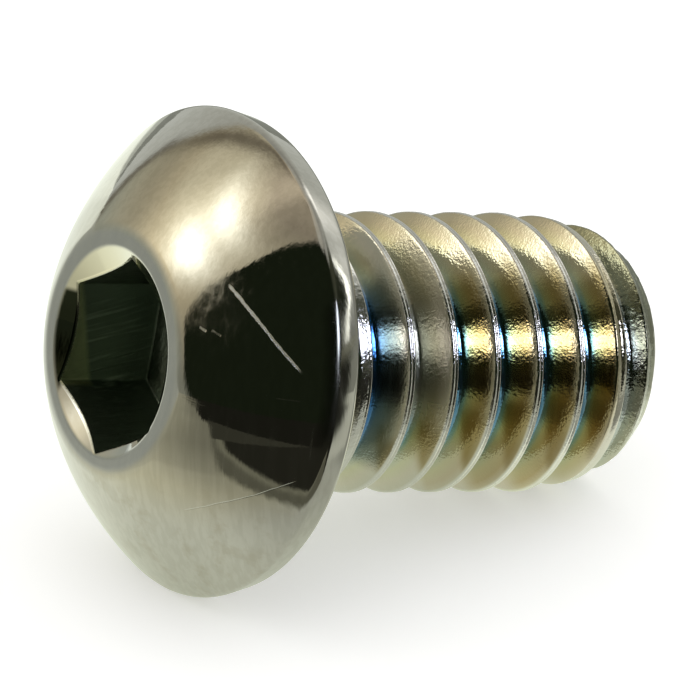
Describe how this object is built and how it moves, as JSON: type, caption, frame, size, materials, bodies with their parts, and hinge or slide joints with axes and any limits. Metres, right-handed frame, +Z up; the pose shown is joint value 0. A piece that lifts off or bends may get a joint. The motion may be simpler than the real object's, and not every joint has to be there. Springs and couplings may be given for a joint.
{
  "type": "button head screw",
  "caption": "Domed button head screw with a hexagon socket and a full-length unified coarse thread, bright plated.",
  "frame": {"origin": "on the floor under the middle of the lying screw's box", "axes": "+Z up; the head is towards -X and the threaded end towards +X; the screw's axis lies in the XZ plane and rises 14.55 degrees from the end to the head, because the screw lies on the side of its head and the last full crest of its thread"},
  "size_m": [0.017, 0.0134, 0.013],
  "materials": {
    "bright_plating": "mirror-bright plated steel with a slightly warm tint, finely grained on the thread flanks"
  },
  "bodies": {
    "root": {"button_head_screw": "bright_plating"}
  },
  "joints": []
}
